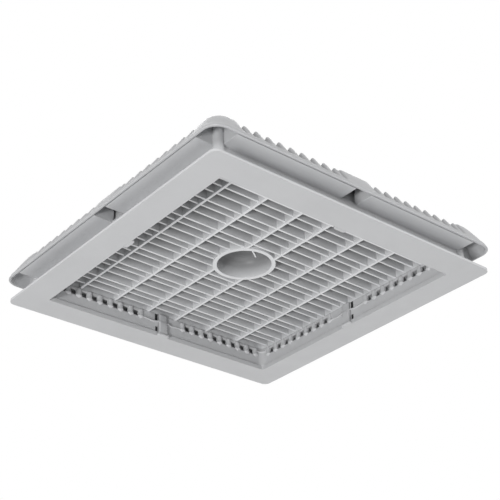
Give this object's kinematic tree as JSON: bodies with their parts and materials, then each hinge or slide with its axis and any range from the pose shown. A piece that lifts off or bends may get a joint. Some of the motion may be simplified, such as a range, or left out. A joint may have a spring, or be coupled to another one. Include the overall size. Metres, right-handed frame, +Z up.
{
  "type": "bathroom extractor fan",
  "caption": "Square light-grey roof extractor fan: flat flange round a deep recess, lattice intake grille with a hub cup, motor and impeller under a domed cowl with ribbed air slots.",
  "frame": {"origin": "centre of the mounting flange's underside, the face that seats on the roof or ceiling panel", "axes": "+Z up along the fan's axis, from the room towards the cowl's crown; X across the grille's main ribs, Y along them"},
  "size_m": [0.35, 0.35, 0.0825],
  "materials": {
    "frame_plastic": "fine moulded satin, light grey",
    "grille_plastic": "fine moulded satin, light grey",
    "cowl_plastic": "fine moulded satin, light grey",
    "deck_plastic": "moulded, dark grey",
    "box_plastic": "moulded, pale",
    "block_plastic": "moulded, ivory",
    "impeller_plastic": "glass-filled, dark grey",
    "foam_rubber": "closed-cell foam",
    "black_rubber": "soft, matt",
    "zinc_steel": "zinc plated",
    "bearing_steel": "ground",
    "black_steel": "black coated",
    "lamination_steel": "stacked sheet",
    "magnet": "bonded ferrite",
    "enamelled_copper": "enamelled wire",
    "brass": "machined",
    "cast_aluminium": "die cast",
    "circuit_board": "solder mask"
  },
  "bodies": {
    "root": {"base_frame": "frame_plastic", "grille_clips": "frame_plastic", "intake_grille": "grille_plastic", "hub_cup": "grille_plastic", "grille_skirt": "grille_plastic", "deck_gasket": "foam_rubber", "inlet_ring": "deck_plastic", "deck_screws": "zinc_steel", "cowl": "cowl_plastic", "cowl_inserts": "brass", "cowl_screws": "zinc_steel", "motor_base": "cast_aluminium", "motor_screws": "zinc_steel", "motor_board": "circuit_board", "stator_core": "lamination_steel", "stator_windings": "enamelled_copper", "lower_bearing": "bearing_steel", "upper_bearing": "bearing_steel", "terminal_box": "box_plastic", "terminal_box_lid": "box_plastic", "lid_screws": "zinc_steel", "terminal_block": "block_plastic", "terminal_screws": "brass", "cable_grommet": "black_rubber", "motor_lead": "black_rubber"},
    "rotor": {"rotor_shaft": "bearing_steel", "rotor_can": "black_steel", "rotor_magnets": "magnet", "preload_washer": "bearing_steel", "shaft_clip": "black_steel", "impeller": "impeller_plastic", "impeller_shroud": "impeller_plastic", "impeller_screws": "zinc_steel"}
  },
  "joints": [
    {"name": "impeller_spin", "type": "hinge", "parent": "root", "child": "rotor", "pos_m": [0, 0, 0.06], "axis": [0, 0, 1], "continuous": true}
  ]
}
